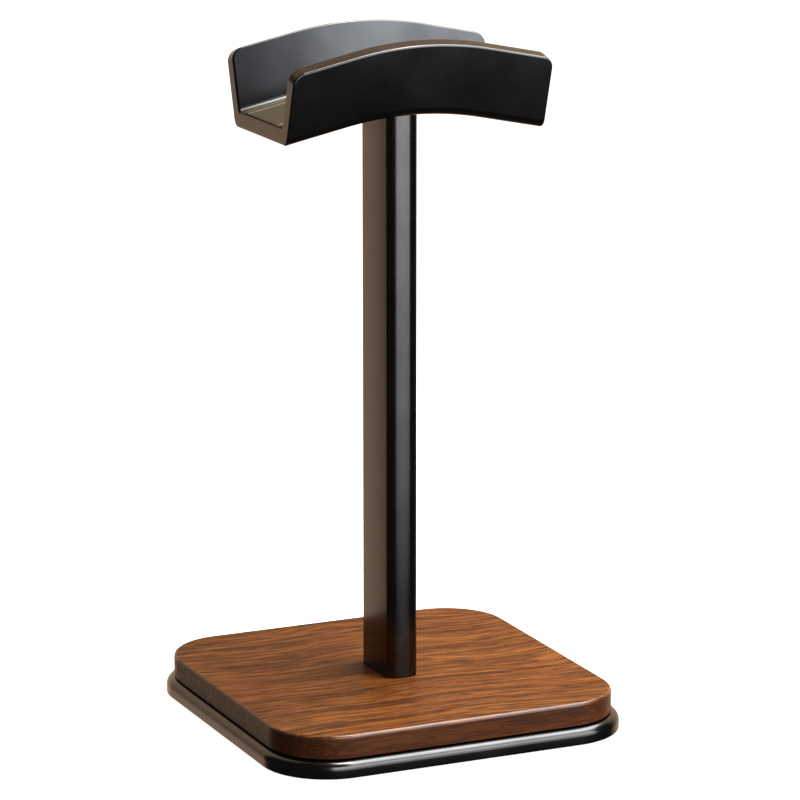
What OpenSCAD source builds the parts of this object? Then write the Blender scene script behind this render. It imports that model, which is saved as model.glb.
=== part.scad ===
// Headphone stand: an arched U-channel saddle on a bowed aluminium post, over a
// walnut board and a heavy black plate.
// Millimetres, +Z up. The origin is at the centre of the footprint, on the
// surface the feet stand on. The saddle runs along X and the front faces -Y.

/* [Base] */
// Side of the square base plate
base_side = 125; // [110:1:140]
// Plan radius of the base plate's corners
base_corner_r = 22.4; // [18:0.1:26]
// Thickness of the base plate
plate_t = 5.5; // [4.6:0.1:8]
// Radius of the plate's rounded top edge
plate_top_r = 2.8; // [1:0.1:3.2]
// Radius of the plate's lower edge
plate_low_r = 0.4; // [0.2:0.1:1]
// How far the plate stands out past the board, all round
ledge = 2.3; // [1:0.1:4]
// Thickness of the wooden board
board_t = 7.7; // [7:0.1:14]
// Radius of the board's top edge
board_top_r = 1.2; // [0.5:0.1:2]
// Thickness of the spacer that makes the dark shadow gap
spacer_t = 0.4; // [0.3:0.1:2]
// How far the spacer sits back from the board's edge
spacer_inset = 3; // [2:0.5:6]

/* [Feet] */
// Diameter of a rubber foot
foot_d = 14; // [10:0.5:16]
// Thickness of a rubber foot
foot_t = 1.8; // [1.6:0.1:2.4]
// How far a foot stands below the plate
foot_proud = 0.8; // [0.6:0.1:1.2]
// Distance of a foot's centre from each centre line
foot_offset = 46; // [42:1:48]
// Thickness of the adhesive film over a foot and under the pad
tape_t = 0.2; // [0.1:0.05:0.3]

/* [Post] */
// Width of the post along X, between its two flat sides
post_w = 11.2; // [10.5:0.1:16]
// Length of each flat side, along Y
post_flat = 18.8; // [15:0.1:22]
// How far the front and back faces bow out past the flat sides
post_bow = 2.45; // [1.5:0.05:3.5]
// Wall of the extruded tube
post_wall = 1.6; // [1.2:0.1:1.8]
// Length of the plug in each end of the tube
plug_l = 22; // [16:1:40]

/* [Saddle] */
// Length of the saddle along X
saddle_l = 90.3; // [80:0.1:110]
// Height of its underside over the ground, at the post
saddle_z = 203.8; // [150:0.1:280]
// Radius of the arched middle
arch_r = 113; // [90:1:140]
// Slope of the straight ends, in degrees
arch_slope = 11.84; // [8:0.01:14]
// Lean of each side wall out from the vertical, in degrees
wall_lean = 16.4; // [8:0.1:20]
// Height of a wall's outer top edge over the underside
wall_h = 23.5; // [18:0.5:32]
// Thickness of the walls
wall_t = 4.9; // [3.5:0.1:6]
// Thickness of the floor
floor_t = 5.3; // [5:0.1:7]
// Half width of the underside, where wall and floor faces would meet
under_half = 21.35; // [20:0.05:26]
// Radius along each lower outside edge
under_r = 3.8; // [2:0.1:5]
// Radius along each inside corner of the channel
inside_r = 2; // [0.6:0.1:2]
// Radius of the walls' top corners, seen from the side
end_top_r = 4.2; // [2:0.1:6]
// Radius of the floor's lower end edges
end_low_r = 1; // [0.6:0.1:3]

/* [Pad] */
// Thickness of the soft pad let into the saddle's floor
pad_t = 1.5; // [1.2:0.1:2]
// How far the pad stands above the floor around it
pad_proud = 0.3; // [0.2:0.1:0.8]
// Width of the metal border between the pad and the saddle's ends
pad_border = 0.8; // [0.8:0.1:3]
// Half width of the pad
pad_half = 16.2; // [12:0.1:16.4]
// Radius of the pad's corners in plan
pad_corner_r = 1; // [1:0.5:5]

/* [Fasteners] */
// Distance between the two screws at each end of the post
screw_pitch = 11; // [10:0.5:12]
// Thread diameter of the saddle screws
saddle_screw_d = 3; // [3:0.5:3.5]
// Length of the saddle screws
saddle_screw_l = 12; // [10:1:14]
// Thread diameter of the post screws
post_screw_d = 4; // [4:0.5:4.5]
// Length of the post screws under the head
post_screw_l = 20; // [18:1:24]
// Thread diameter of the board screws
board_screw_d = 3; // [2.5:0.5:3.5]
// Length of the board screws
board_screw_l = 10; // [9:0.5:10.5]
// Distance of a board screw from each centre line
board_screw_offset = 31; // [28:1:34]

/* [Hidden] */

$fn = 64;
eps = 0.01;   // overlap that joins two solids
bend_steps = 12;   // straight runs in each half of the saddle's bend
corner_steps = 5;   // straight runs round each corner of its cross-section

// Levels
plate_z = foot_proud;
spacer_z = plate_z + plate_t;
board_z = spacer_z + spacer_t;
board_top = board_z + board_t;
post_seat_depth = 0.5;   // the post's end is let into the underside by this much
post_top = saddle_z + post_seat_depth;
floor_z = saddle_z + floor_t;
pocket_z = floor_z + pad_proud - pad_t - tape_t;   // bottom of the pad's recess, at the post

// Screws: heads, washers, inserts and clearances
clear_d = 0.5;   // a clearance hole is this much wider than the thread
csk_head = 1.9;   // countersunk head diameter over thread diameter
head_sunk = 0.2;   // a countersunk head sits this far below the face
button_d = 7.6;
button_t = 2.2;
washer_d = 9;
washer_t = 0.8;
washer_seat_z = plate_z + button_t + washer_t + 0.1;   // ceiling of the post screws' counterbores
post_screw_z = washer_seat_z - washer_t;   // underside of the button heads
saddle_screw_z = pocket_z - head_sunk;   // top of the saddle screws' heads
board_screw_z = plate_z + head_sunk;   // bottom of the board screws' heads
insert_wall = 0.8;
insert_top_l = 6;
insert_low_l = 8;
screw_run_out = 1;   // free depth past a screw's tip
pad_half_l = saddle_l / 2 - pad_border;
screw_ys = [-screw_pitch / 2, screw_pitch / 2];
board_screw_xys = [for (x = [-1, 1], y = [-1, 1]) board_screw_offset * [x, y]];
foot_xys = [for (x = [-1, 1], y = [-1, 1]) foot_offset * [x, y]];

// ---- Fasteners --------------------------------------------------------

// Hexagonal drive socket, open at z = 0 and sunk below it
module hex_socket(across_corners, depth) {
  translate([0, 0, -depth]) cylinder(d = across_corners, h = depth + eps, $fn = 6);
}

// Countersunk screw with the top of its head at z = 0, pointing down
module countersunk_screw(d, l, tip_l, tip_d) {
  head_r = csk_head * d / 2;
  difference() {
    rotate_extrude() polygon([
      [0, 0], [head_r, 0], [d / 2, d / 2 - head_r],
      [d / 2, tip_l - l], [tip_d / 2, -l], [0, -l],
    ]);
    hex_socket(0.7 * d, 0.4 * d);
  }
}

// Countersunk hole for that screw, through a wall that reaches down to z = -depth
module countersunk_hole(d, depth) {
  mouth_r = csk_head * d / 2 + head_sunk;
  translate([0, 0, head_sunk - mouth_r]) cylinder(r1 = 0, r2 = mouth_r, h = mouth_r);
  translate([0, 0, head_sunk - eps]) cylinder(r = mouth_r, h = 1);
  translate([0, 0, -depth]) cylinder(d = d + clear_d, h = depth);
}

module saddle_screws() {
  color("gray") for (y = screw_ys) translate([0, y, saddle_screw_z])
    countersunk_screw(saddle_screw_d, saddle_screw_l, 0.5, saddle_screw_d - 1);
}

module board_screw() {
  translate([0, 0, board_screw_z]) mirror([0, 0, 1])
    countersunk_screw(board_screw_d, board_screw_l, 2, 0.5);
}

module board_screws() {
  color("gray") for (p = board_screw_xys) translate(p) board_screw();
}

// Button-head screws that clamp the base to the post
module post_screws() {
  dome_r = 4.6;
  color("gray") for (y = screw_ys) translate([0, y, post_screw_z]) difference() {
    union() {
      intersection() {
        translate([0, 0, -button_t]) cylinder(d = button_d, h = button_t);
        translate([0, 0, dome_r - button_t]) sphere(dome_r);
      }
      cylinder(d = post_screw_d, h = post_screw_l - 0.5);
      cylinder(d = post_screw_d - 1, h = post_screw_l);
    }
    translate([0, 0, -button_t]) mirror([0, 0, 1]) hex_socket(2.9, 1.4);
  }
}

module post_screw_washers() {
  color("silver") for (y = screw_ys) translate([0, y, post_screw_z]) difference() {
    cylinder(d = washer_d, h = washer_t);
    translate([0, 0, -1]) cylinder(d = post_screw_d + 0.3, h = washer_t + 2);
  }
}

// ---- Base -------------------------------------------------------------

// Edge profile of a slab: x out to the edge, y up, its two outer corners rounded
module edge_profile(reach, t, top_r, low_r) {
  square([reach - max(top_r, low_r), t]);
  translate([0, low_r]) square([reach, t - top_r - low_r]);
  translate([reach - top_r, t - top_r]) intersection() {
    circle(top_r);
    square(top_r);
  }
  if (low_r > 0) {
    square([reach - low_r, low_r + eps]);
    translate([reach - low_r, low_r]) circle(low_r);
  }
}

// Square slab with rounded corners in plan and rounded edges
module rounded_slab(side, corner_r, t, top_r, low_r = 0) {
  run = side - 2 * corner_r;
  translate([-run / 2, -run / 2, 0]) cube([run, run, t]);
  for (a = [0:90:270]) rotate(a) translate([run / 2, run / 2, 0]) {
    rotate_extrude(angle = 90) edge_profile(corner_r, t, top_r, low_r);
    rotate([90, 0, 0]) linear_extrude(run) edge_profile(corner_r, t, top_r, low_r);
  }
}

module rounded_square(side, corner_r) {
  run = side - 2 * corner_r;
  square([side, run], center = true);
  square([run, side], center = true);
  for (x = [-1, 1], y = [-1, 1]) translate(run / 2 * [x, y]) circle(corner_r);
}

module wood_board() {
  color("sienna") difference() {
    translate([0, 0, board_z])
      rounded_slab(base_side - 2 * ledge, base_corner_r - ledge / 2, board_t, board_top_r);
    for (y = screw_ys) translate([0, y, board_z - 1])
      cylinder(d = post_screw_d + clear_d, h = board_t + 2);
    for (p = board_screw_xys) translate(p) board_screw();
  }
}

module base_spacer() {
  inset = ledge + spacer_inset;
  color("black") difference() {
    translate([0, 0, spacer_z]) linear_extrude(spacer_t)
      rounded_square(base_side - 2 * inset, base_corner_r - inset / 2);
    for (y = screw_ys) translate([0, y, spacer_z - 1])
      cylinder(d = post_screw_d + clear_d, h = spacer_t + 2);
    for (p = board_screw_xys) translate([p.x, p.y, spacer_z - 1])
      cylinder(d = board_screw_d + clear_d, h = spacer_t + 2);
  }
}

// Flat plate with sunk seats for the feet, the button heads and the countersunk heads
module base_plate() {
  color("dimgray") difference() {
    translate([0, 0, plate_z])
      rounded_slab(base_side, base_corner_r, plate_t, plate_top_r, plate_low_r);
    for (p = foot_xys) translate(p) cylinder(d = foot_d + 0.4, h = foot_t + tape_t);
    for (y = screw_ys) translate([0, y, 0]) {
      cylinder(d = washer_d + 0.6, h = washer_seat_z);
      cylinder(d = post_screw_d + clear_d, h = spacer_z + 1);
    }
    for (p = board_screw_xys) translate([p.x, p.y, board_screw_z]) mirror([0, 0, 1])
      countersunk_hole(board_screw_d, plate_t + 1);
  }
}

// ---- Feet -------------------------------------------------------------

// Rubber disc with a small round along its lower edge
module foot(x, y) {
  edge_r = 0.5;
  color("black") translate([x, y, 0]) rotate_extrude() {
    translate([0, edge_r]) square([foot_d / 2, foot_t - edge_r]);
    square([foot_d / 2 - edge_r, foot_t]);
    translate([foot_d / 2 - edge_r, edge_r]) circle(edge_r);
  }
}

module foot_tapes() {
  color("silver") for (p = foot_xys) translate([p.x, p.y, foot_t])
    cylinder(d = foot_d - 1, h = tape_t);
}

// ---- Post -------------------------------------------------------------

// Plan of the post: flat left and right sides, bowed front and back. inset moves every face in.
module post_section(inset = 0) {
  bow_r = (post_w * post_w / 4 + post_bow * post_bow) / (2 * post_bow);
  bow_y = post_flat / 2 + post_bow - bow_r;
  intersection() {
    square([post_w - 2 * inset, 2 * post_flat], center = true);
    union() for (side = [-1, 1]) translate([0, side * bow_y]) circle(bow_r - inset);
  }
}

module post_tube() {
  color("dimgray") translate([0, 0, board_top]) linear_extrude(post_top - board_top) difference() {
    post_section();
    post_section(post_wall);
  }
}

// Solid plug for an end of the tube, drilled from its face at z = 0 down for inserts and screws
module plug(screw_d, insert_l, hole_l) {
  color("darkslategray") difference() {
    translate([0, 0, -plug_l]) linear_extrude(plug_l) post_section(post_wall);
    for (y = screw_ys) {
      translate([0, y, -insert_l]) cylinder(d = screw_d + 2 * insert_wall, h = insert_l + 1);
      translate([0, y, -hole_l]) cylinder(d = screw_d + clear_d, h = hole_l);
    }
  }
}

// Pair of threaded inserts from z = 0 down, with a retaining groove round the middle
module inserts(screw_d, insert_l) {
  band_l = 0.4 * insert_l;
  groove = 0.3;
  color("gold") for (y = screw_ys) translate([0, y, 0]) rotate_extrude()
    translate([screw_d / 2, -insert_l]) {
      square([insert_wall - groove, insert_l]);
      for (z = [0, insert_l - band_l]) translate([0, z]) square([insert_wall, band_l]);
    }
}

module post_top_plug() {
  hole_l = post_top - saddle_screw_z + saddle_screw_l + screw_run_out;
  translate([0, 0, post_top]) plug(saddle_screw_d, insert_top_l, hole_l);
}

module post_top_inserts() {
  translate([0, 0, post_top]) inserts(saddle_screw_d, insert_top_l);
}

module post_bottom_plug() {
  hole_l = post_screw_z + post_screw_l - board_top + screw_run_out;
  translate([0, 0, board_top]) mirror([0, 0, 1]) plug(post_screw_d, insert_low_l, hole_l);
}

module post_bottom_inserts() {
  translate([0, 0, board_top]) mirror([0, 0, 1]) inserts(post_screw_d, insert_low_l);
}

// ---- Saddle -----------------------------------------------------------

// How far the arch has dropped at a distance x from the post
function arch_drop(x) =
  let (bend_x = arch_r * sin(arch_slope), d = abs(x))
  d < bend_x
    ? arch_r - sqrt(arch_r * arch_r - d * d)
    : arch_r * (1 - cos(arch_slope)) + (d - bend_x) * tan(arch_slope);

// Stations along the arch: evenly spaced round the bend, then one straight run to each end
function arch_xs(half_l) =
  let (bend_x = arch_r * sin(arch_slope))
  concat([-half_l], [for (i = [-bend_steps:bend_steps]) bend_x * i / bend_steps], [half_l]);

function mirrored(points) = [for (i = [len(points) - 1:-1:0]) [-points[i].x, points[i].y]];

// Lower half of a channel's cross-section, one side: a flat bottom at height z0 that would meet
// the leaning wall half_w from the middle, with a corner of radius r between them
function channel_corner(half_w, z0, r) =
  let (turn = 90 - wall_lean, centre = [half_w - r * tan(turn / 2), z0 + r])
  [for (i = [0:corner_steps])
    let (a = turn * i / corner_steps - 90)
    centre + r * [cos(a), sin(a)]];

// Solid swept by a convex cross-section (y, z) that moves along the arch and stays upright
module along_arch(section, half_l) {
  xs = arch_xs(half_l);
  m = len(section);
  n = len(xs);
  points = [for (x = xs, p = section) [x, p.x, p.y - arch_drop(x)]];
  sides = [
    for (i = [0:n - 2], j = [0:m - 1])
      let (k = (j + 1) % m)
      [i * m + j, (i + 1) * m + j, (i + 1) * m + k, i * m + k]
  ];
  first = [for (j = [0:m - 1]) j];
  last = [for (j = [m - 1:-1:0]) (n - 1) * m + j];
  polyhedron(points, concat(sides, [first, last]), convexity = 4);
}

// Outer top edge of a wall, seen along X, with the underside at height 0
wall_edge = [under_half + wall_h * tan(wall_lean), wall_h];

// Outside of the channel. The top faces lie square to the walls and run on past their inside
// faces, where the inside cuts them off.
module saddle_outside() {
  reach = wall_t + 1;
  half = concat(
    channel_corner(under_half, 0, under_r),
    [wall_edge, wall_edge + reach * [-cos(wall_lean), sin(wall_lean)]]
  );
  along_arch(concat(half, mirrored(half)), saddle_l / 2);
}

module saddle_inside() {
  floor_half = under_half + floor_t * tan(wall_lean) - wall_t / cos(wall_lean);
  half = concat(
    channel_corner(floor_half, floor_t, inside_r),
    [[floor_half + wall_h * tan(wall_lean), floor_t + wall_h]]
  );
  along_arch(concat(half, mirrored(half)), saddle_l / 2 + 1);
}

// Waste outside a rounded corner: the part of a wedge, turned from +x, that lies past a circle
module corner_waste(r, turn) {
  far = 3 * r;
  difference() {
    polygon([[0, 0], [far, 0], far * [cos(turn / 2), sin(turn / 2)] * 1.5, far * [cos(turn), sin(turn)]]);
    circle(r);
  }
}

// Rounds the top corner at the +X end of the +Y wall, square to that wall
module wall_end_waste() {
  slope = atan(tan(arch_slope) * cos(wall_lean));
  x = saddle_l / 2 - end_top_r;
  z = -cos(wall_lean) * arch_drop(x) - end_top_r / cos(slope);
  translate([0, wall_edge.x, wall_edge.y]) rotate([-wall_lean, 0, 0]) translate([x, 0, z])
    rotate([90, 0, 0]) linear_extrude(4 * wall_t, center = true) corner_waste(end_top_r, 90 - slope);
}

// Rounds the lower edge at the +X end of the floor
module floor_end_waste() {
  x = saddle_l / 2 - end_low_r;
  z = end_low_r / cos(arch_slope) - arch_drop(x);
  translate([x, 0, z]) mirror([0, 0, 1]) rotate([90, 0, 0])
    linear_extrude(3 * under_half, center = true) corner_waste(end_low_r, 90 + arch_slope);
}

module saddle() {
  color("dimgray") difference() {
    translate([0, 0, saddle_z]) difference() {
      saddle_outside();
      saddle_inside();
      for (end = [0, 1]) mirror([end, 0, 0]) {
        floor_end_waste();
        for (side = [0, 1]) mirror([0, side, 0]) wall_end_waste();
      }
    }
    pad_recess();
    for (y = screw_ys) translate([0, y, saddle_screw_z])
      countersunk_hole(saddle_screw_d, floor_t + 1);
    translate([0, 0, saddle_z - 1]) linear_extrude(post_top - saddle_z + 1) post_section();
  }
}

// ---- Pad --------------------------------------------------------------

// Sheet that follows the arch from height z at the post, cut to a rectangle with round corners
module arched_sheet(z, t, half_l, half_w, corner_r) {
  xs = arch_xs(half_l);
  low = [for (x = xs) [x, z - arch_drop(x)]];
  high = [for (i = [len(xs) - 1:-1:0]) low[i] + [0, t]];
  intersection() {
    rotate([90, 0, 0]) linear_extrude(2 * half_w, center = true) polygon(concat(low, high));
    translate([0, 0, z - arch_drop(half_l) - 1]) linear_extrude(arch_drop(half_l) + t + 2) {
      square([2 * half_l, 2 * (half_w - corner_r)], center = true);
      square([2 * (half_l - corner_r), 2 * half_w], center = true);
      for (x = [-1, 1], y = [-1, 1])
        translate([x * (half_l - corner_r), y * (half_w - corner_r)]) circle(corner_r);
    }
  }
}

module pad_recess() {
  arched_sheet(pocket_z, 2 * pad_t, pad_half_l, pad_half, pad_corner_r);
}

module saddle_pad() {
  color("black") arched_sheet(pocket_z + tape_t, pad_t, pad_half_l, pad_half, pad_corner_r);
}

module saddle_pad_tape() {
  color("silver") difference() {
    arched_sheet(pocket_z, tape_t, pad_half_l - 1, pad_half - 1, pad_corner_r);
    for (y = screw_ys) translate([0, y, pocket_z - 1])
      cylinder(d = csk_head * saddle_screw_d + 2, h = 3);
  }
}

saddle();
saddle_pad();
saddle_pad_tape();
saddle_screws();
post_tube();
post_top_plug();
post_top_inserts();
post_bottom_plug();
post_bottom_inserts();
wood_board();
base_spacer();
base_plate();
post_screws();
post_screw_washers();
board_screws();
foot(-foot_offset, -foot_offset);  // foot_front_left
foot(foot_offset, -foot_offset);  // foot_front_right
foot(-foot_offset, foot_offset);  // foot_rear_left
foot(foot_offset, foot_offset);  // foot_rear_right
foot_tapes();
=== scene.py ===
"""Headphone stand: the finished looks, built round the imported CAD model.

Lengths are millimetres until a mesh is made, and each vertex is then scaled to metres.
The stand faces -Y, its saddle runs along X, and the ground is at z = 0.
"""
import math

import bmesh
import bpy
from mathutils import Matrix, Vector


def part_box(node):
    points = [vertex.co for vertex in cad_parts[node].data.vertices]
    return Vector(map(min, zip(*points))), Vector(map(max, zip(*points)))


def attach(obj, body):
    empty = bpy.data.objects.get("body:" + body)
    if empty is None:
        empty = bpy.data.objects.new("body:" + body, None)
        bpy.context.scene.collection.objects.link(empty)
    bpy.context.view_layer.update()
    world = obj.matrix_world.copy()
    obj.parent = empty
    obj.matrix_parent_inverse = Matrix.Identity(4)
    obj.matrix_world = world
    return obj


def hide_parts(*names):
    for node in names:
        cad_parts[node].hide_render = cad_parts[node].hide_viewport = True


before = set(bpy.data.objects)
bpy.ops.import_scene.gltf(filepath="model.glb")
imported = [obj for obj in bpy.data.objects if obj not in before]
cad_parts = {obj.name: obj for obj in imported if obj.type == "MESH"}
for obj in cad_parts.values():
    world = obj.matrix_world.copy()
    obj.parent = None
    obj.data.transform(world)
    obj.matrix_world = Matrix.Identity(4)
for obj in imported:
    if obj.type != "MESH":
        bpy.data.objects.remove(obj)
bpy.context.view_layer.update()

MM = 0.001
TAU = 2 * math.pi


def box_mm(node):
    """Lowest and highest corners of a CAD node, in millimetres."""
    low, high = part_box(node)
    return low / MM, high / MM


# ---- Sizes, from the CAD frame ---------------------------------------------------------

PLATE_LOW, PLATE_HIGH = box_mm("base_plate")
BOARD_LOW, BOARD_HIGH = box_mm("wood_board")
POST_LOW, POST_HIGH = box_mm("post_tube")
SADDLE_HIGH = box_mm("saddle")[1]
PAD_HIGH = box_mm("saddle_pad")[1]
WASHER_TOP = box_mm("post_screw_washers")[1].z
FOOT_NODES = ["foot_front_left", "foot_front_right", "foot_rear_left", "foot_rear_right"]

# Plate and board: plan corner radii, and the radii along their edges
PLATE_CORNER_R = 22.4
PLATE_TOP_R = 2.8
PLATE_LOW_R = 0.4
BOARD_CORNER_R = 21.25
BOARD_TOP_R = 1.2
BOARD_LOW_R = 0.2

# Recesses in the plate's underside: foot seats, counterbores and countersinks
FOOT_SEAT_GAP = 0.2
POST_SCREW_Y = 5.5
COUNTERBORE_R = 4.8
BOARD_SCREW_XY = 31.0
COUNTERSINK_R = 3.05
MOUTH_CHAMFER = 0.25

# Post: bow of its front and back faces and of its sides, wall, and radius on its long corners
POST_BOW = 2.45
POST_SIDE_BOW = 0.22
POST_WALL = 1.6
POST_EDGE_R = 0.45

# Saddle: arch, lean of the walls, thicknesses, and radii
ARCH_R = 113.0
ARCH_SLOPE = math.radians(11.84)
WALL_LEAN = math.radians(16.4)
WALL_T = 4.9
WALL_H = 23.5
FLOOR_T = 5.3
UNDER_HALF = 21.35
UNDER_R = 3.8
INSIDE_R = 2.0
END_TOP_R = 4.2
END_LOW_R = 1.0
SADDLE_EDGE_R = 0.58
SADDLE_Z = POST_HIGH.z - 0.5   # the underside at the post, which lets the post in by 0.5
HALF_L = SADDLE_HIGH.x

# Pad: thickness, the lip along each side, and the groove that marks it off
PAD_T = 1.5
PAD_CORNER_R = 1.0
PAD_LIP_W = 3.6
PAD_GROOVE_W = 0.7
PAD_GROOVE_D = 0.45
PAD_GAP = 0.12

# Camera: the viewpoint, in degrees and millimetres
CAMERA_AZIMUTH = -24.443
CAMERA_ELEVATION = 13.458
CAMERA_DISTANCE = 1361.7
CAMERA_TARGET = Vector((3.757, 0, 105.957))
CAMERA_LENS = 186.63
CAMERA_SENSOR = 36.0

# Room: the dark in front of the stand and the warm wall behind it. Each pair says where the
# dark ends and the wall is in full light, as one part of the unit vector to that spot.
ROOM_DARK = (0.06, 0.06, 0.06)
ROOM_WALL = (0.95, 0.66, 0.44)
WALL_FROM_LEFT = (-0.62, -0.36)
WALL_FROM_BELOW = (-0.85, -0.45)
WALL_FROM_FRONT = (0.05, 0.45)

# Floor: half-size in metres, grey, reach of the contact shadow, and the open share of the sky
# at which that shadow is full and gone
FLOOR_HALF = 4.0
FLOOR_GREY = 0.5
CONTACT_REACH = 0.8
CONTACT_OPEN = (0.1, 0.5)


# ---- Mesh helpers ----------------------------------------------------------------------

def new_bmesh_object(name, bm, material):
    """Object in metres from a bmesh in millimetres, smooth shaded."""
    bmesh.ops.recalc_face_normals(bm, faces=bm.faces)
    bmesh.ops.scale(bm, vec=(MM, MM, MM), verts=bm.verts)
    mesh = bpy.data.meshes.new(name)
    bm.to_mesh(mesh)
    bm.free()
    mesh.shade_smooth()
    mesh.materials.append(material)
    obj = bpy.data.objects.new(name, mesh)
    bpy.context.collection.objects.link(obj)
    return obj


def prism(outline, z_low, z_high):
    """Upright prism on a plan outline."""
    bm = bmesh.new()
    low = [bm.verts.new((x, y, z_low)) for x, y in outline]
    high = [bm.verts.new((x, y, z_high)) for x, y in outline]
    bm.faces.new(low[::-1])
    bm.faces.new(high)
    for i in range(len(outline)):
        j = (i + 1) % len(outline)
        bm.faces.new((low[i], low[j], high[j], high[i]))
    return bm


def edges_where(bm, test, least_angle=0.4):
    """Edges sharper than least_angle whose two ends and middle all pass the test."""
    bm.normal_update()
    return [
        e for e in bm.edges
        if len(e.link_faces) == 2
        and e.calc_face_angle(0) > least_angle
        and all(test(p) for p in (e.verts[0].co, e.verts[1].co, (e.verts[0].co + e.verts[1].co) / 2))
    ]


def round_edges(bm, edges, radius, segments):
    bmesh.ops.bevel(
        bm, geom=edges, offset=radius, offset_type="OFFSET", segments=segments,
        profile=0.5, affect="EDGES", clamp_overlap=True,
    )


def face_normals(obj):
    """Flat faces stay flat and rounded edges turn smoothly between them."""
    modifier = obj.modifiers.new("face_normals", "WEIGHTED_NORMAL")
    modifier.weight = 100
    modifier.keep_sharp = True
    return obj


def cut(obj, cutter):
    """Takes the cutter's solid out of the object."""
    modifier = obj.modifiers.new("cut", "BOOLEAN")
    modifier.object = cutter
    modifier.solver = "EXACT"
    depsgraph = bpy.context.evaluated_depsgraph_get()
    mesh = bpy.data.meshes.new_from_object(obj.evaluated_get(depsgraph))
    obj.modifiers.clear()
    obj.data = mesh
    bpy.data.objects.remove(cutter)


def rounded_square(side, radius, steps=24):
    """Plan outline of a square with rounded corners."""
    run = side / 2 - radius
    points = []
    for corner in range(4):
        turn = corner * TAU / 4
        cx = run * (1 if corner in (0, 3) else -1)
        cy = run * (1 if corner in (0, 1) else -1)
        for i in range(steps + 1):
            a = turn + TAU / 4 * i / steps
            points.append((cx + radius * math.cos(a), cy + radius * math.sin(a)))
    return points


def turned(x, y, profile, steps=48):
    """Solid turned round an upright axis. profile lists (radius, z) from its bottom up."""
    bm = bmesh.new()
    turns = [TAU * i / steps for i in range(steps)]
    rings = [
        [bm.verts.new((x + radius * math.cos(a), y + radius * math.sin(a), z)) for a in turns]
        for radius, z in profile
    ]
    bm.faces.new(rings[0][::-1])
    bm.faces.new(rings[-1])
    for low, high in zip(rings, rings[1:]):
        for i in range(steps):
            j = (i + 1) % steps
            bm.faces.new((low[i], low[j], high[j], high[i]))
    return bm


# ---- Materials -------------------------------------------------------------------------

class Paint:
    """A material under construction: its node tree, its shader and a chain of helpers."""

    def __init__(self, name, **sockets):
        self.material = bpy.data.materials.new(name)
        self.material.use_nodes = True
        self.tree = self.material.node_tree
        self.shader = self.tree.nodes["Principled BSDF"]
        self.place = self.node("ShaderNodeTexCoord").outputs["Object"]
        for key, value in sockets.items():
            self.shader.inputs[key.replace("_", " ")].default_value = value

    def node(self, kind, links=None, values=None, **settings):
        """New node: settings are its properties, values its sockets, links what feeds them."""
        node = self.tree.nodes.new(kind)
        for key, value in settings.items():
            setattr(node, key, value)
        for key, value in (values or {}).items():
            node.inputs[key].default_value = value
        for key, source in (links or {}).items():
            self.tree.links.new(source, node.inputs[key])
        return node

    def noise(self, scale, detail=3.0, roughness=0.5, stretch=(1, 1, 1), place=None, shift=0.0):
        """Noise value of about 0 to 1. scale counts features to the metre."""
        where = self.node(
            "ShaderNodeMapping", {"Vector": place or self.place},
            {"Scale": stretch, "Location": (shift, shift, shift)},
        ).outputs["Vector"]
        return self.node(
            "ShaderNodeTexNoise", {"Vector": where},
            {"Scale": scale, "Detail": detail, "Roughness": roughness},
        ).outputs["Fac"]

    def spread(self, value, low, high, to_low=0.0, to_high=1.0, smooth=False):
        """Maps low..high to to_low..to_high, clamped."""
        return self.node(
            "ShaderNodeMapRange", {"Value": value},
            {"From Min": low, "From Max": high, "To Min": to_low, "To Max": to_high},
            interpolation_type="SMOOTHSTEP" if smooth else "LINEAR",
        ).outputs["Result"]

    def math(self, operation, a, b):
        node = self.node("ShaderNodeMath", operation=operation)
        for socket, term in zip(node.inputs, (a, b)):
            if isinstance(term, (int, float)):
                socket.default_value = term
            else:
                self.tree.links.new(term, socket)
        return node.outputs["Value"]

    def mix(self, factor, a, b, blend="MIX"):
        """Colour a to colour b as factor goes from 0 to 1."""
        node = self.node("ShaderNodeMix", data_type="RGBA", blend_type=blend)
        colours = [s for s in node.inputs if s.type == "RGBA"]
        for socket, term in zip([node.inputs["Factor"], *colours], (factor, a, b)):
            if isinstance(term, bpy.types.NodeSocket):
                self.tree.links.new(term, socket)
            elif isinstance(term, tuple):
                socket.default_value = (*term, 1.0)
            else:
                socket.default_value = term
        return next(s for s in node.outputs if s.type == "RGBA")

    def feed(self, socket, source):
        self.tree.links.new(source, self.shader.inputs[socket])

    def bump(self, *layers):
        """Stacks bumps, each (height, strength, depth in mm)."""
        normal = None
        for height, strength, depth in layers:
            links = {"Height": height}
            if normal is not None:
                links["Normal"] = normal
            normal = self.node(
                "ShaderNodeBump", links, {"Strength": strength, "Distance": depth * MM},
            ).outputs["Normal"]
        self.feed("Normal", normal)


def satin_black(name, tint, roughness, grain_depth):
    """Fine-blasted black finish on metal: a faint cloud in its gloss and a very fine grain."""
    paint = Paint(name, Metallic=1.0)
    cloud = paint.noise(60, detail=4, roughness=0.6)
    fine = paint.noise(5200, detail=2)
    dust = paint.noise(900, detail=5, roughness=0.7, shift=3.1)
    dark = tuple(0.86 * c for c in tint)
    light = tuple(1.14 * c for c in tint)
    paint.feed("Base Color", paint.mix(paint.spread(cloud, 0.3, 0.7), dark, light))
    gloss = paint.math("ADD", paint.spread(cloud, 0.3, 0.7, roughness - 0.015, roughness + 0.015),
                       paint.spread(dust, 0.62, 0.8, 0.0, 0.03))
    paint.feed("Roughness", gloss)
    paint.bump((fine, 0.2, grain_depth))
    return paint.material
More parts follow.
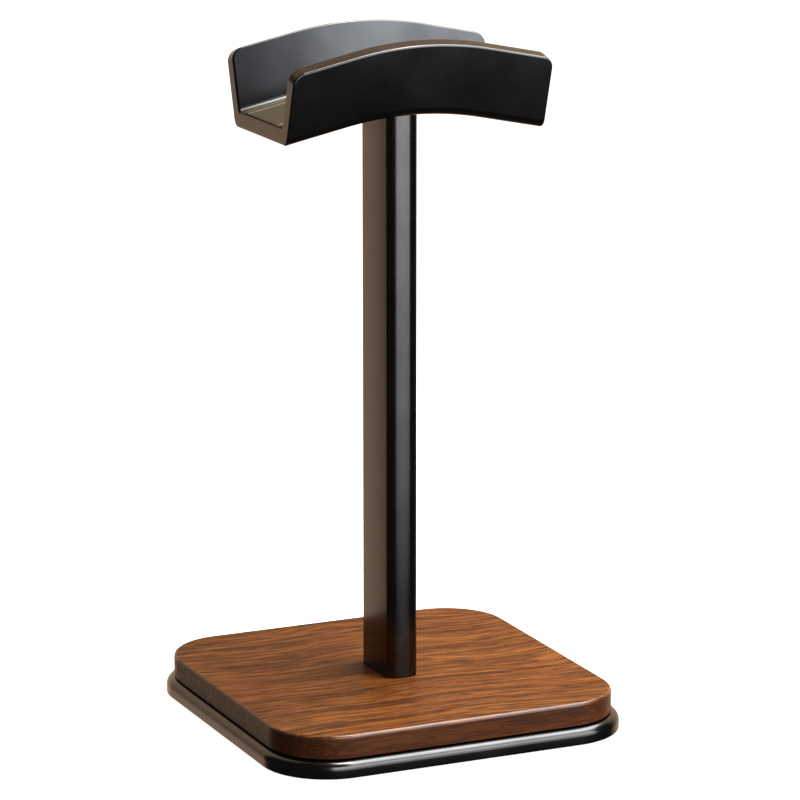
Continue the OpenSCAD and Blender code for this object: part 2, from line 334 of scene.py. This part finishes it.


# Walnut colours, from the palest figure to the open pores, and a painted shade for the board's sides
WOOD_PALE = (0.208, 0.074, 0.015)
WOOD_LIGHT = (0.144, 0.042, 0.007)
WOOD_RED = (0.100, 0.022, 0.004)
WOOD_DARK = (0.068, 0.018, 0.004)
WOOD_LINE = (0.034, 0.011, 0.003)
WOOD_PORE = (0.016, 0.006, 0.002)
WOOD_SIDE_SHADE = (0.044, 0.014, 0.006)


# How far the grain sways across the board, in long bends and in short ones
GRAIN_BEND = 15.0
GRAIN_SWAY = 1.4


def along_grain(paint, on_front):
    """Coordinates that follow the grain: it runs along X and sways, but hardly on the front."""
    bend = paint.noise(7, detail=1, stretch=(1.3, 0.8, 1), shift=0.4)
    sway = paint.noise(30, detail=2, stretch=(0.6, 1, 1), shift=1.7)
    drift = paint.math("ADD", paint.spread(bend, 0.2, 0.8, -GRAIN_BEND * MM, GRAIN_BEND * MM),
                       paint.spread(sway, 0.2, 0.8, -GRAIN_SWAY * MM, GRAIN_SWAY * MM))
    drift = paint.math("MULTIPLY", drift, paint.spread(on_front, 0, 1, 1.0, 0.12))
    axes = paint.node("ShaderNodeSeparateXYZ", {"Vector": paint.place}).outputs
    return paint.node("ShaderNodeCombineXYZ", {
        "X": axes["X"], "Y": paint.math("ADD", axes["Y"], drift), "Z": axes["Z"]}).outputs["Vector"]


def wood_colour(paint, grain, streaks, fibres, pore_mask, on_side):
    """Growth bands, then dark and pale streaks, reddish patches and pores. The sides are darkened with
    painted shade.
    """
    bands = paint.noise(190, detail=4, roughness=0.65, stretch=(0.05, 1, 0.8), place=grain)
    patches = paint.noise(24, detail=2, stretch=(0.5, 1, 1), shift=9.4)
    colour = paint.mix(paint.spread(bands, 0.40, 0.56, smooth=True), WOOD_DARK, WOOD_LIGHT)
    colour = paint.mix(paint.spread(streaks, 0.52, 0.63, 0, 0.78), colour, WOOD_LINE)
    colour = paint.mix(paint.spread(streaks, 0.48, 0.36, 0, 0.65), colour, WOOD_PALE)
    colour = paint.mix(paint.spread(fibres, 0.52, 0.60, 0, 0.68), colour, WOOD_LINE)
    colour = paint.mix(paint.spread(fibres, 0.47, 0.39, 0, 0.55), colour, WOOD_PALE)
    colour = paint.mix(paint.spread(patches, 0.40, 0.70, 0, 0.30), colour, WOOD_RED)
    colour = paint.mix(paint.math("MULTIPLY", pore_mask, 0.75), colour, WOOD_PORE)
    # Painted shade: the sides are mixed most of the way to a darker, plainer tone
    return paint.mix(paint.spread(on_side, 0, 1, 0, 0.72), colour, WOOD_SIDE_SHADE)


def walnut(name):
    """Oiled walnut: figured grain, a soft shine on its sides and more on its rounded top edge."""
    paint = Paint(name, Coat_Roughness=0.25, Specular_IOR_Level=0.06)
    facing = paint.node("ShaderNodeSeparateXYZ", {
        "Vector": paint.node("ShaderNodeNewGeometry").outputs["True Normal"]}).outputs
    on_front = paint.spread(paint.math("ABSOLUTE", facing["Y"], 0), 0.3, 0.7)
    on_side = paint.spread(facing["Z"], 0.6, 0.1)
    on_edge = paint.math("MULTIPLY", paint.spread(facing["Z"], 0.05, 0.35),
                         paint.spread(facing["Z"], 0.995, 0.90))

    grain = along_grain(paint, on_front)
    streaks = paint.noise(420, detail=3, roughness=0.6, stretch=(0.05, 1, 1), place=grain, shift=2.3)
    fibres = paint.noise(1200, detail=3, roughness=0.7, stretch=(0.05, 1, 1), place=grain, shift=5.9)
    pores = paint.noise(1300, detail=2, stretch=(0.075, 1, 1), place=grain, shift=8.2)
    pore_mask = paint.spread(pores, 0.57, 0.61)

    paint.feed("Base Color", wood_colour(paint, grain, streaks, fibres, pore_mask, on_side))
    paint.feed("Roughness", paint.spread(streaks, 0.3, 0.7, 0.42, 0.56))
    paint.feed("Coat Weight", paint.math("ADD", paint.spread(on_edge, 0, 1, 0, 0.75),
                                         paint.spread(on_side, 0, 1, 0.04, 0.26)))
    paint.bump((pore_mask, 0.45, -0.06), (fibres, 0.15, 0.03))
    return paint.material


def soft_liner(name):
    """Moulded satin silicone of the pad: a fine matt grain with rubbed, shinier patches."""
    paint = Paint(name, Sheen_Weight=0.03, Sheen_Roughness=0.4)
    grain = paint.noise(2600, detail=3, roughness=0.6)
    rub = paint.noise(75, detail=3, stretch=(0.6, 1, 1), shift=4.4)
    paint.feed("Base Color", paint.mix(paint.spread(rub, 0.3, 0.7),
                                       (0.034, 0.024, 0.011), (0.046, 0.032, 0.015)))
    paint.feed("Roughness", paint.spread(rub, 0.3, 0.7, 0.26, 0.32))
    paint.bump((grain, 0.3, 0.02))
    return paint.material


def rubber(name, colour, roughness=0.72, grain=1400):
    """Dull black rubber with a pitted grain and a little bloom."""
    paint = Paint(name, Specular_IOR_Level=0.35)
    pits = paint.noise(grain, detail=4, roughness=0.65)
    bloom = paint.noise(160, detail=3, shift=2.0)
    light = tuple(1.8 * c for c in colour)
    paint.feed("Base Color", paint.mix(paint.spread(bloom, 0.4, 0.75), colour, light))
    paint.feed("Roughness", paint.spread(pits, 0.3, 0.7, roughness - 0.08, roughness + 0.08))
    paint.bump((pits, 0.4, 0.04))
    return paint.material


def turned_metal(name, colour, roughness):
    """Plated or turned metal with fine tool marks round Z and faint staining."""
    paint = Paint(name, Metallic=1.0, Anisotropic=0.3)
    marks = paint.noise(3000, detail=2, stretch=(0.15, 0.15, 1))
    stain = paint.noise(240, detail=4, roughness=0.65, shift=6.5)
    dull = tuple(0.72 * c for c in colour)
    paint.feed("Base Color", paint.mix(paint.spread(stain, 0.42, 0.7), colour, dull))
    paint.feed("Roughness", paint.spread(marks, 0.3, 0.7, roughness - 0.05, roughness + 0.07))
    paint.bump((marks, 0.2, 0.01))
    return paint.material


def moulded_nylon(name):
    paint = Paint(name, Specular_IOR_Level=0.45)
    grain = paint.noise(1800, detail=3)
    flow = paint.noise(90, detail=3, stretch=(1, 1, 0.3), shift=1.2)
    paint.feed("Base Color", paint.mix(paint.spread(flow, 0.3, 0.7),
                                       (0.012, 0.012, 0.013), (0.024, 0.024, 0.026)))
    paint.feed("Roughness", paint.spread(grain, 0.3, 0.7, 0.42, 0.55))
    paint.bump((grain, 0.25, 0.02))
    return paint.material


def tape_film(name):
    paint = Paint(name, Specular_IOR_Level=0.5)
    fibres = paint.noise(900, detail=4, roughness=0.7)
    paint.feed("Base Color", paint.mix(paint.spread(fibres, 0.35, 0.7),
                                       (0.62, 0.60, 0.55), (0.76, 0.74, 0.69)))
    paint.feed("Roughness", paint.spread(fibres, 0.3, 0.7, 0.35, 0.5))
    paint.bump((fibres, 0.2, 0.02))
    return paint.material


BLACK_TINT = (0.055, 0.0535, 0.053)
PLATE_TINT = (0.066, 0.064, 0.063)
MATERIALS = {
    "black_aluminium": satin_black("black_aluminium_finish", BLACK_TINT, 0.17, 0.003),
    "plate_black": satin_black("plate_black_finish", PLATE_TINT, 0.18, 0.004),
    "walnut": walnut("walnut_finish"),
    "pad_rubber": soft_liner("pad_finish"),
    "foot_rubber": rubber("foot_rubber_finish", (0.012, 0.012, 0.012)),
    "spacer_rubber": rubber("spacer_rubber_finish", (0.007, 0.007, 0.007), 0.8),
    "black_nylon": moulded_nylon("black_nylon_finish"),
    "insert_brass": turned_metal("insert_brass_finish", (0.72, 0.50, 0.20), 0.3),
    "screw_steel": turned_metal("screw_steel_finish", (0.52, 0.52, 0.54), 0.32),
    "adhesive_film": tape_film("adhesive_film_finish"),
}


def finish_piece(obj, slot, *nodes):
    """Rides on the stand and stands for its CAD nodes. slot is not used."""
    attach(obj, "root")
    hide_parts(*nodes)
    return obj


# ---- Base ------------------------------------------------------------------------------

def recess(x, y, radius, ceiling, chamfer=0.0):
    """Cutter for a flat-topped recess in the plate's underside. Its mouth may be chamfered."""
    mouth = radius + chamfer
    profile = [(mouth, -1), (radius, ceiling)]
    if chamfer:
        profile[1:1] = [(mouth, PLATE_LOW.z), (radius, PLATE_LOW.z + chamfer)]
    return turned(x, y, profile)


def plate_recesses():
    """Cutters for the foot seats, the post screws' counterbores and the board screws' sinks."""
    cutters = []
    for node in FOOT_NODES:
        low, high = box_mm(node)
        middle = (low + high) / 2
        seat_r = (high.x - low.x) / 2 + FOOT_SEAT_GAP
        cutters.append(recess(middle.x, middle.y, seat_r, high.z + FOOT_SEAT_GAP))
    for y in (-POST_SCREW_Y, POST_SCREW_Y):
        cutters.append(recess(0, y, COUNTERBORE_R, WASHER_TOP, MOUTH_CHAMFER))
    for x in (-BOARD_SCREW_XY, BOARD_SCREW_XY):
        for y in (-BOARD_SCREW_XY, BOARD_SCREW_XY):
            cutters.append(turned(x, y, [
                (COUNTERSINK_R, -1), (COUNTERSINK_R, PLATE_LOW.z), (COUNTERSINK_R - 1, PLATE_LOW.z + 1)]))
    return cutters


def base_plate():
    """Heavy plate with a broad round along its top edge, and recesses in its underside."""
    bm = prism(rounded_square(PLATE_HIGH.x - PLATE_LOW.x, PLATE_CORNER_R), PLATE_LOW.z, PLATE_HIGH.z)
    round_edges(bm, edges_where(bm, lambda p: p.z > PLATE_HIGH.z - 0.01), PLATE_TOP_R, 10)
    round_edges(bm, edges_where(bm, lambda p: p.z < PLATE_LOW.z + 0.01), PLATE_LOW_R, 3)
    plate = new_bmesh_object("plate_body", bm, MATERIALS["plate_black"])
    for cutter in plate_recesses():
        cut(plate, new_bmesh_object("recess_cutter", cutter, MATERIALS["plate_black"]))
    return finish_piece(face_normals(plate), "plate_black", "base_plate")


def wood_board():
    bm = prism(rounded_square(BOARD_HIGH.x - BOARD_LOW.x, BOARD_CORNER_R), BOARD_LOW.z, BOARD_HIGH.z)
    round_edges(bm, edges_where(bm, lambda p: p.z > BOARD_HIGH.z - 0.01), BOARD_TOP_R, 8)
    round_edges(bm, edges_where(bm, lambda p: p.z < BOARD_LOW.z + 0.01), BOARD_LOW_R, 3)
    board = new_bmesh_object("walnut_board", bm, MATERIALS["walnut"])
    return finish_piece(face_normals(board), "walnut", "wood_board")


# ---- Post ------------------------------------------------------------------------------

def post_outline(inset, steps=28, side_steps=10):
    """Plan of the post: well bowed front and back, and sides with a barely visible bow."""
    bow_r = (POST_HIGH.x ** 2 + POST_BOW ** 2) / (2 * POST_BOW)
    centre_y = POST_HIGH.y - bow_r
    bow_r -= inset
    corner_x = POST_HIGH.x - POST_SIDE_BOW - inset
    reach = math.asin(corner_x / bow_r)
    half = []
    for i in range(steps + 1):
        a = reach * (2 * i / steps - 1)
        half.append((bow_r * math.sin(a), -centre_y - bow_r * math.cos(a)))
    corner_y = -half[-1][1]
    for i in range(1, side_steps):
        along = 2 * i / side_steps - 1
        half.append((corner_x + POST_SIDE_BOW * (1 - along ** 2), corner_y * along))
    return half + [(-x, -y) for x, y in half]


def post_tube():
    """Extruded tube, open at both ends, its long corners just broken."""
    bm = bmesh.new()
    rings = []
    low_z, high_z = POST_LOW.z, POST_HIGH.z
    for inset, z in ((0, low_z), (0, high_z), (POST_WALL, high_z), (POST_WALL, low_z)):
        rings.append([bm.verts.new((x, y, z)) for x, y in post_outline(inset)])
    count = len(rings[0])
    for k in range(4):
        low, high = rings[k], rings[(k + 1) % 4]
        for i in range(count):
            j = (i + 1) % count
            bm.faces.new((low[i], low[j], high[j], high[i]))
    round_edges(bm, edges_where(bm, lambda p: True), POST_EDGE_R, 4)
    post = new_bmesh_object("post_extrusion", bm, MATERIALS["black_aluminium"])
    return finish_piece(face_normals(post), "black_aluminium", "post_tube")


# ---- Saddle ----------------------------------------------------------------------------

BEND_X = ARCH_R * math.sin(ARCH_SLOPE)


def arch_drop(x):
    """How far the arch has dropped at a distance x from the post."""
    d = abs(x)
    if d < BEND_X:
        return ARCH_R - math.sqrt(ARCH_R ** 2 - d ** 2)
    return ARCH_R * (1 - math.cos(ARCH_SLOPE)) + (d - BEND_X) * math.tan(ARCH_SLOPE)


def bend_along_arch(bm, steps=28):
    """Cuts a straight solid across at even stations round the bend, then drops each point."""
    for i in range(-steps, steps + 1):
        bmesh.ops.bisect_plane(
            bm, geom=[*bm.verts, *bm.edges, *bm.faces],
            plane_co=(BEND_X * i / steps, 0, 0), plane_no=(1, 0, 0),
        )
    for v in bm.verts:
        v.co.z -= arch_drop(v.co.x)


def channel_corner(half_w, z0, radius, steps=10):
    """Corner between a flat bottom at z0 and the leaning wall that meets it half_w out."""
    turn = TAU / 4 - WALL_LEAN
    cy, cz = half_w - radius * math.tan(turn / 2), z0 + radius
    return [
        (cy + radius * math.sin(turn * i / steps), cz - radius * math.cos(turn * i / steps))
        for i in range(steps + 1)
    ]


def channel_outline():
    """Cross-section of the straight channel (y, z), from the underside's middle round to it."""
    lean = math.tan(WALL_LEAN)
    outer_top = (UNDER_HALF + WALL_H * lean, WALL_H)
    inner_top = (outer_top[0] - WALL_T * math.cos(WALL_LEAN),
                 WALL_H + WALL_T * math.sin(WALL_LEAN))
    floor_half = UNDER_HALF + FLOOR_T * lean - WALL_T / math.cos(WALL_LEAN)
    outside = channel_corner(UNDER_HALF, 0, UNDER_R)
    inside = channel_corner(floor_half, FLOOR_T, INSIDE_R)[::-1]
    half = [*outside, outer_top, inner_top, *inside]
    return half + [(-y, z) for y, z in reversed(half)]


def round_low_ends(bm, steps=6):
    """Rounds the channel's lower end edges, by lifting what lies below a quarter circle."""
    start = HALF_L - END_LOW_R
    for i in range(steps):
        for side in (-1, 1):
            at = side * (start + END_LOW_R * math.sin(TAU / 4 * i / steps))
            bmesh.ops.bisect_plane(bm, geom=[*bm.verts, *bm.edges, *bm.faces],
                                   plane_co=(at, 0, 0), plane_no=(1, 0, 0))
    for v in bm.verts:
        past = min(abs(v.co.x) - start, END_LOW_R)
        if past > 0:
            v.co.z = max(v.co.z, SADDLE_Z + END_LOW_R - math.sqrt(END_LOW_R ** 2 - past ** 2))
    bmesh.ops.remove_doubles(bm, verts=bm.verts, dist=0.002)


def saddle_solid():
    """The straight channel with its end corners and all its edges rounded, then arched."""
    outline = [(y, z + SADDLE_Z) for y, z in channel_outline()]
    bm = prism(outline, -HALF_L, HALF_L)
    for v in bm.verts:
        v.co = Vector((v.co.z, v.co.x, v.co.y))
    at_end = HALF_L - 0.01
    top_z = SADDLE_Z + WALL_H - 0.01
    tangent = math.tan((TAU / 4 - ARCH_SLOPE) / 2)
    corners = edges_where(bm, lambda p: abs(p.x) > at_end and p.z > top_z)
    round_edges(bm, corners, END_TOP_R * tangent, 12)
    round_edges(bm, edges_where(bm, lambda p: True, 0.6), SADDLE_EDGE_R, 5)
    round_low_ends(bm)
    bend_along_arch(bm)
    return bm


def arched_sheet(z, thickness, half_l, half_w, corner_r):
    """Sheet that follows the arch, with round corners in plan."""
    steps = 8
    outline = []
    for corner in range(4):
        sx = 1 if corner in (0, 3) else -1
        sy = 1 if corner in (0, 1) else -1
        for i in range(steps + 1):
            a = TAU / 4 * (corner + i / steps)
            outline.append((sx * (half_l - corner_r) + corner_r * math.cos(a),
                            sy * (half_w - corner_r) + corner_r * math.sin(a)))
    return prism(outline, z, z + thickness)


def saddle():
    body = new_bmesh_object("saddle_channel", saddle_solid(), MATERIALS["black_aluminium"])
    recess = arched_sheet(PAD_HIGH.z - PAD_T - 0.2, 3 * PAD_T, PAD_HIGH.x, PAD_HIGH.y, PAD_CORNER_R)
    bend_along_arch(recess)
    cut(body, new_bmesh_object("recess_cutter", recess, MATERIALS["black_aluminium"]))
    seat = prism(post_outline(0), SADDLE_Z - 1, POST_HIGH.z)
    cut(body, new_bmesh_object("post_cutter", seat, MATERIALS["black_aluminium"]))
    return finish_piece(face_normals(body), "black_aluminium", "saddle")


def pad():
    """Soft liner let into the floor, with a fine groove along each side."""
    half_l, half_w = PAD_HIGH.x - PAD_GAP, PAD_HIGH.y - PAD_GAP
    bm = arched_sheet(PAD_HIGH.z - PAD_T, PAD_T, half_l, half_w, PAD_CORNER_R)
    top = PAD_HIGH.z - 0.01
    groove_y = half_w - PAD_LIP_W
    for y in (groove_y, groove_y - PAD_GROOVE_W / 2, groove_y - PAD_GROOVE_W):
        for side in (-1, 1):
            bmesh.ops.bisect_plane(bm, geom=[*bm.verts, *bm.edges, *bm.faces],
                                   plane_co=(0, side * y, 0), plane_no=(0, 1, 0))
    for v in bm.verts:
        if v.co.z > top and abs(abs(v.co.y) - (groove_y - PAD_GROOVE_W / 2)) < 0.01:
            v.co.z -= PAD_GROOVE_D
    bend_along_arch(bm)
    piece = new_bmesh_object("saddle_liner", bm, MATERIALS["pad_rubber"])
    bevel = piece.modifiers.new("soft_edge", "BEVEL")
    bevel.width = 0.3 * MM
    bevel.segments = 3
    bevel.limit_method = "ANGLE"
    bevel.angle_limit = 0.6
    finish_piece(face_normals(piece), "pad_rubber", "saddle_pad")
    return piece


# ---- Stage -----------------------------------------------------------------------------

def direction(azimuth, elevation):
    """Unit vector: azimuth 0 is straight in front of the stand (-Y), and grows towards +X."""
    a, e = math.radians(azimuth), math.radians(elevation)
    return Vector((math.sin(a) * math.cos(e), -math.cos(a) * math.cos(e), math.sin(e)))


def aim(obj, place, target):
    obj.location = place
    obj.rotation_euler = (target - place).to_track_quat("-Z", "Y").to_euler()


def camera():
    lens = bpy.data.cameras.new("camera")
    lens.lens = CAMERA_LENS
    lens.sensor_width = CAMERA_SENSOR
    view = bpy.data.objects.new("camera", lens)
    bpy.context.collection.objects.link(view)
    target = CAMERA_TARGET * MM
    aim(view, target + direction(CAMERA_AZIMUTH, CAMERA_ELEVATION) * CAMERA_DISTANCE * MM, target)
    bpy.context.scene.camera = view


def soft_box(name, place, size, radiance, colour=(1, 1, 1)):
    """Rectangular light that points straight down. size is (width, height) in metres."""
    light = bpy.data.lights.new(name, "AREA")
    light.shape = "RECTANGLE"
    light.size, light.size_y = size
    light.energy = radiance * math.pi * size[0] * size[1]
    light.color = colour
    obj = bpy.data.objects.new(name, light)
    obj.visible_camera = False
    bpy.context.collection.objects.link(obj)
    aim(obj, place, Vector((*place.xy, 0)))


def floor():
    """Plain pale floor that only the camera and the light see, so black metal stays black."""
    bm = bmesh.new()
    bmesh.ops.create_grid(bm, x_segments=1, y_segments=1, size=FLOOR_HALF)
    mesh = bpy.data.meshes.new("floor")
    bm.to_mesh(mesh)
    bm.free()
    obj = bpy.data.objects.new("floor", mesh)
    bpy.context.collection.objects.link(obj)
    material = bpy.data.materials.new("floor_white")
    material.use_nodes = True
    shader = material.node_tree.nodes["Principled BSDF"]
    shader.inputs["Base Color"].default_value = (FLOOR_GREY, FLOOR_GREY, FLOOR_GREY, 1)
    shader.inputs["Roughness"].default_value = 1.0
    shader.inputs["Specular IOR Level"].default_value = 0.0
    shader.inputs["Emission Color"].default_value = (1, 1, 1, 1)
    # Painted contact shadow: the floor's glow is dimmed where ambient occlusion finds it covered
    cover = material.node_tree.nodes.new("ShaderNodeAmbientOcclusion")
    cover.inputs["Distance"].default_value = CONTACT_REACH * MM
    open_sky = material.node_tree.nodes.new("ShaderNodeMapRange")
    open_sky.inputs["From Min"].default_value, open_sky.inputs["From Max"].default_value = CONTACT_OPEN
    material.node_tree.links.new(cover.outputs["AO"], open_sky.inputs["Value"])
    material.node_tree.links.new(open_sky.outputs["Result"], shader.inputs["Emission Strength"])
    mesh.materials.append(material)
    obj.visible_glossy = False
    obj.visible_diffuse = False


def surroundings():
    """Room light: a warm wall behind the stand, and darkness on its left, in front and below."""
    world = bpy.data.worlds.new("room")
    bpy.context.scene.world = world
    world.use_nodes = True
    tree = world.node_tree
    place = tree.nodes.new("ShaderNodeTexCoord")
    axes = tree.nodes.new("ShaderNodeSeparateXYZ")
    tree.links.new(place.outputs["Generated"], axes.inputs["Vector"])

    def ramp(axis, dark, bright):
        node = tree.nodes.new("ShaderNodeMapRange")
        node.interpolation_type = "SMOOTHSTEP"
        node.inputs["From Min"].default_value = dark
        node.inputs["From Max"].default_value = bright
        tree.links.new(axes.outputs[axis], node.inputs["Value"])
        return node.outputs["Result"]

    wall = tree.nodes.new("ShaderNodeMath")
    wall.operation = "MULTIPLY"
    tree.links.new(ramp("X", *WALL_FROM_LEFT), wall.inputs[0])
    tree.links.new(ramp("Z", *WALL_FROM_BELOW), wall.inputs[1])
    blend = tree.nodes.new("ShaderNodeMix")
    blend.data_type = "RGBA"
    colours = [s for s in blend.inputs if s.type == "RGBA"]
    colours[0].default_value = (*ROOM_DARK, 1)
    colours[1].default_value = (*ROOM_WALL, 1)
    behind = tree.nodes.new("ShaderNodeMath")
    behind.operation = "MULTIPLY"
    tree.links.new(wall.outputs["Value"], behind.inputs[0])
    tree.links.new(ramp("Y", *WALL_FROM_FRONT), behind.inputs[1])
    tree.links.new(behind.outputs["Value"], blend.inputs["Factor"])
    colour = next(s for s in blend.outputs if s.type == "RGBA")
    tree.links.new(colour, tree.nodes["Background"].inputs["Color"])


def card_glow(name, colour, gradients):
    """Glow as strong as the product of two gradients: (direction, (from, to, value, value))."""
    material = bpy.data.materials.new(name)
    material.use_nodes = True
    tree = material.node_tree
    tree.nodes.remove(tree.nodes["Principled BSDF"])
    glow = tree.nodes.new("ShaderNodeEmission")
    glow.inputs["Color"].default_value = (*colour, 1)
    place = tree.nodes.new("ShaderNodeTexCoord")
    strength = tree.nodes.new("ShaderNodeMath")
    strength.operation = "MULTIPLY"
    for socket, (along, values) in zip(strength.inputs, gradients):
        where = tree.nodes.new("ShaderNodeVectorMath")
        where.operation = "DOT_PRODUCT"
        where.inputs[1].default_value = along
        ramp = tree.nodes.new("ShaderNodeMapRange")
        for key, value in zip(("From Min", "From Max", "To Min", "To Max"), values):
            ramp.inputs[key].default_value = value
        tree.links.new(place.outputs["Object"], where.inputs[0])
        tree.links.new(where.outputs["Value"], ramp.inputs["Value"])
        tree.links.new(ramp.outputs["Result"], socket)
    tree.links.new(strength.outputs["Value"], glow.inputs["Strength"])
    tree.links.new(glow.outputs["Emission"], tree.nodes["Material Output"].inputs["Surface"])
    return material


def card(name, azimuth, distance, z_low, z_high, width, dim, bright, fade=(0, 0), colour=(1, 1, 1)):
    """Upright glowing card, graded from dim at its bottom edge to bright at its top one.

    It rises from black to full between the two distances in fade, from its left edge.
    """
    away = direction(azimuth, 0)
    across = Vector((-away.y, away.x, 0))
    foot = away * distance
    corners = [foot - across * width / 2, foot + across * width / 2]
    points = [(*c.xy, z_low) for c in corners] + [(*c.xy, z_high) for c in reversed(corners)]
    mesh = bpy.data.meshes.new(name)
    mesh.from_pydata(points, [], [(0, 1, 2, 3)])
    black, full = (f - width / 2 for f in fade)
    mesh.materials.append(card_glow(name, colour, [
        ((0, 0, 1), (z_low, z_high, dim, bright)),
        (across, (black - MM, full, 0, 1)),
    ]))
    obj = bpy.data.objects.new(name, mesh)
    bpy.context.collection.objects.link(obj)
    obj.visible_camera = False
    obj.visible_shadow = False


def lights():
    """Two cards in front shine in the upright black faces, and two soft boxes light from above."""
    card("low_card", azimuth=16, distance=0.45, z_low=-0.10, z_high=0.30, width=0.66,
         dim=0.35, bright=7.2, fade=(0, 0.06))
    card("high_card", azimuth=32, distance=0.42, z_low=0.30, z_high=0.63, width=0.56,
         dim=2.0, bright=15.0, fade=(0.12, 0.24), colour=(0.86, 0.92, 1.0))
    soft_box("top_light", Vector((0.40, -0.04, 0.66)), size=(0.52, 0.64), radiance=11.5)
    soft_box("spot_light", Vector((0.10, -0.06, 0.62)), size=(0.16, 0.28), radiance=18.0,
             colour=(1.0, 0.97, 0.88))


camera()
floor()
surroundings()
lights()

base_plate()
wood_board()
post_tube()
saddle()
pad()

# The CAD nodes that are carried over take the finished materials too
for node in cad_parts.values():
    for slot in node.material_slots:
        if slot.material and slot.material.name in MATERIALS:
            slot.material = MATERIALS[slot.material.name]

bpy.context.scene.view_settings.view_transform = "Standard"
